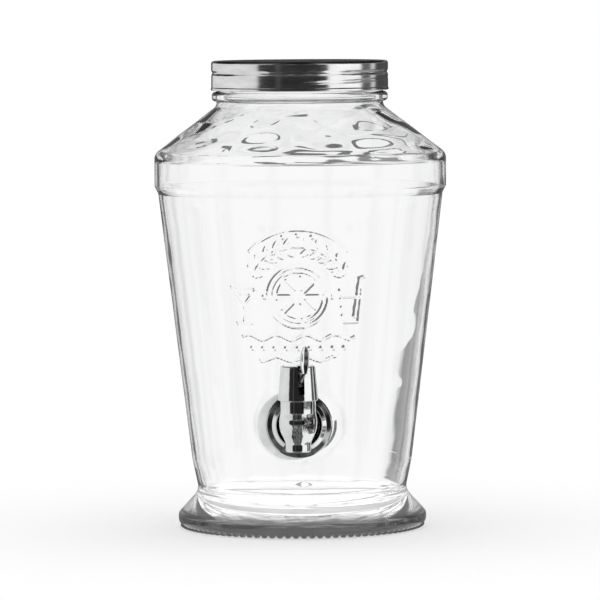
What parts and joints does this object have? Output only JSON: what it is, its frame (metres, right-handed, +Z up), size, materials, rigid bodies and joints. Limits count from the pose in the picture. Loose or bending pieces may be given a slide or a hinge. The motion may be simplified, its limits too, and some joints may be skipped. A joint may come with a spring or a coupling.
{
  "type": "drinks dispenser with tap",
  "caption": "Clear glass drinks jar with a flared foot, a screw-on steel lid and a chromed lever tap that drains it near its foot.",
  "frame": {"origin": "centre of the ring that the jar stands on, on the jar's axis", "axes": "+Z up along the jar's axis; the tap points to -Y; +X is to the right when facing the tap"},
  "size_m": [0.1978, 0.228, 0.3169],
  "materials": {
    "clear_glass": "smooth pressed glass",
    "lid_steel": "bright turned tinplate",
    "liner_white": "soft white sealing compound",
    "silicone": "translucent silicone",
    "tap_chrome": "bright plated plastic",
    "washer_plastic": "white plastic",
    "nut_plastic": "white plastic",
    "gland_rubber": "black rubber",
    "washer_steel": "stainless steel",
    "stem_plastic": "acetal",
    "spring_steel": "stainless spring wire",
    "pin_steel": "stainless pin"
  },
  "bodies": {
    "jar": {"glass_jar": "clear_glass", "outer_gasket": "silicone", "tap_flange": "tap_chrome", "tap_body": "tap_chrome", "inner_gasket": "silicone", "inner_washer": "washer_plastic", "shank_nut": "nut_plastic", "bonnet": "tap_chrome", "bonnet_cap": "tap_chrome", "bonnet_seal": "silicone", "gland_ring": "gland_rubber", "gland_washer": "washer_steel", "lever_pin": "pin_steel"},
    "lid_rise": {"lid_liner": "liner_white"},
    "lid": {"lid_shell": "lid_steel"},
    "lever": {"lever": "tap_chrome"},
    "stem": {"stem": "stem_plastic", "seat_plug": "silicone", "spring_washer": "washer_steel", "stem_spring": "spring_steel"}
  },
  "joints": [
    {"name": "lid_lift", "type": "slide", "parent": "jar", "child": "lid_rise", "axis": [0, 0, 1], "range_m": [0, 0.02]},
    {"name": "lid_turn", "type": "hinge", "parent": "lid_rise", "child": "lid", "pos_m": [0, 0, 0.3065], "axis": [0, 0, 1], "range_deg": [0, 553.9]},
    {"name": "lever_swing", "type": "hinge", "parent": "jar", "child": "lever", "pos_m": [0.00139, -0.11905, 0.10573], "axis": [0.9781, 0.2079, 0], "range_deg": [0, 35], "stiffness_Nm_per_rad": 0.0143, "springref_deg": -83.08},
    {"name": "stem_slide", "type": "slide", "parent": "jar", "child": "stem", "axis": [0, 0, 1], "range_m": [0, 0.00422], "deforming": ["stem_spring"]}
  ],
  "couplings": [
    {"joint": "lid_turn", "follows": "lid_lift", "rad_per_m": 483.32},
    {"joint": "lever_swing", "follows": "stem_slide", "rad_per_m": 144.58}
  ]
}
